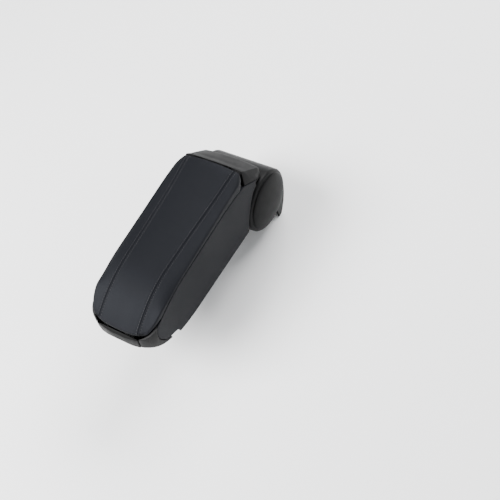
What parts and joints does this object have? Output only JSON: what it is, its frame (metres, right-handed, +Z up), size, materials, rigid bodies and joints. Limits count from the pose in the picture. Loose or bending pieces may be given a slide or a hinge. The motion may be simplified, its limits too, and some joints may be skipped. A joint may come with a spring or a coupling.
{
  "type": "car centre armrest",
  "caption": "Black padded car centre armrest with a lidded storage tub, folding on a barrel hinge with domed end caps.",
  "frame": {"origin": "centre of the four bolt holes, on the underside of the foot plate", "axes": "+Z up, -Y towards the nose of the armrest (front of the car), +X to the right side"},
  "size_m": [0.1158, 0.342, 0.17],
  "materials": {
    "steel": "zinc-plated steel",
    "bracket": "black-coated steel",
    "brass": "plain brass",
    "trim_plastic": "fine-grained black trim plastic",
    "tub_plastic": "plain black plastic",
    "leather": "black artificial leather, fine grain, stitched seams",
    "rubber": "matt black rubber"
  },
  "bodies": {
    "hinge_base": {"foot_bracket": "bracket", "hinge_shroud": "trim_plastic", "end_cap_left": "trim_plastic", "end_cap_right": "trim_plastic", "pivot_axle": "steel", "axle_nut": "steel", "friction_washers": "brass", "shroud_screws": "steel"},
    "arm": {"arm_tongue": "bracket", "storage_tub": "tub_plastic", "tub_liner": "rubber", "side_panel_left": "leather", "side_panel_right": "leather", "front_bezel": "trim_plastic", "rear_cover": "trim_plastic", "cover_screws": "steel", "bottom_cover": "trim_plastic", "bottom_screws": "steel", "tongue_screws": "steel", "lid_hinge_pin": "steel", "latch_striker": "steel", "striker_screws": "steel"},
    "lid": {"lid_frame": "tub_plastic", "lid_pad": "leather", "lid_buffers": "rubber", "latch_pin": "steel", "latch_spring": "steel"},
    "latch": {"latch_lever": "trim_plastic"}
  },
  "joints": [
    {"name": "arm_tilt", "type": "hinge", "parent": "hinge_base", "child": "arm", "pos_m": [0, 0, 0.065], "axis": [-1, 0, 0], "range_deg": [0, 90]},
    {"name": "lid_hinge", "type": "hinge", "parent": "arm", "child": "lid", "pos_m": [0, -0.031, 0.157], "axis": [-1, 0, 0], "range_deg": [0, 80]},
    {"name": "latch_pull", "type": "hinge", "parent": "lid", "child": "latch", "pos_m": [0, -0.285, 0.1315], "axis": [-1, 0, 0], "range_deg": [0, 18], "stiffness_Nm_per_rad": 0.15, "springref_deg": -17.19}
  ]
}
